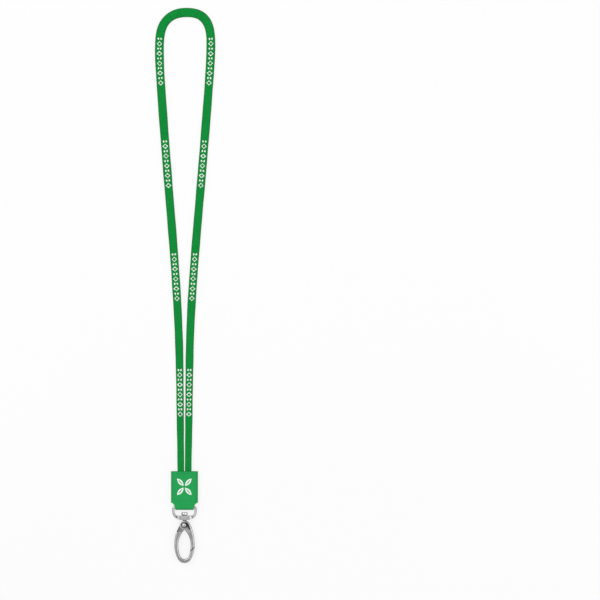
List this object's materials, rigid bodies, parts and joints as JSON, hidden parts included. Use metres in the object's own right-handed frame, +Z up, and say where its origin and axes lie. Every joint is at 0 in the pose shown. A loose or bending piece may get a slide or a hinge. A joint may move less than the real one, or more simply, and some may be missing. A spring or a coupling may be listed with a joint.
{
  "type": "lanyard",
  "caption": "Neck lanyard of narrow tubular webbing with a folded woven label, a swivel ring and an oval snap hook with a sprung gate.",
  "frame": {"origin": "on the surface the lanyard lies on, under the middle of the label, ring and hook taken together", "axes": "+X across the label to the gate's side, +Y from the hook towards the top of the neck loop, +Z up from the surface, out of the label's front"},
  "size_m": [0.057, 0.5268, 0.0058],
  "materials": {
    "strap_webbing": "woven tubular polyester webbing, mid green, matte with a faint sheen",
    "label_fabric": "dense damask-woven polyester label, lighter green, with a pale woven pattern of four leaves",
    "label_thread": "tone-on-tone polyester sewing thread",
    "nickel_plate": "polished nickel plate on die-cast zinc, slightly satin",
    "bright_rivet": "turned steel rivet, fine lathe rings",
    "spring_steel": "drawn spring wire"
  },
  "bodies": {
    "lanyard": {"neck_strap": "strap_webbing", "fold_over_label": "label_fabric", "label_stitching": "label_thread"},
    "ring": {"swivel_ring": "nickel_plate"},
    "hook": {"hook_frame": "nickel_plate", "swivel_button": "nickel_plate", "gate_rivet": "bright_rivet", "gate_spring": "spring_steel"},
    "gate": {"hook_gate": "nickel_plate"}
  },
  "joints": [
    {"name": "ring_hinge", "type": "hinge", "parent": "lanyard", "child": "ring", "pos_m": [0, 0.00915, 0.0029], "axis": [1, 0, 0], "range_deg": [-110, 110]},
    {"name": "hook_swivel", "type": "hinge", "parent": "ring", "child": "hook", "pos_m": [0, -0.0004, 0.0029], "axis": [0, 1, 0], "continuous": true},
    {"name": "gate_pivot", "type": "hinge", "parent": "hook", "child": "gate", "pos_m": [-0.0003, -0.0078, 0.0029], "axis": [0, 0, -1], "range_deg": [0, 22], "stiffness_Nm_per_rad": 0.03, "springref_deg": -45.84}
  ]
}
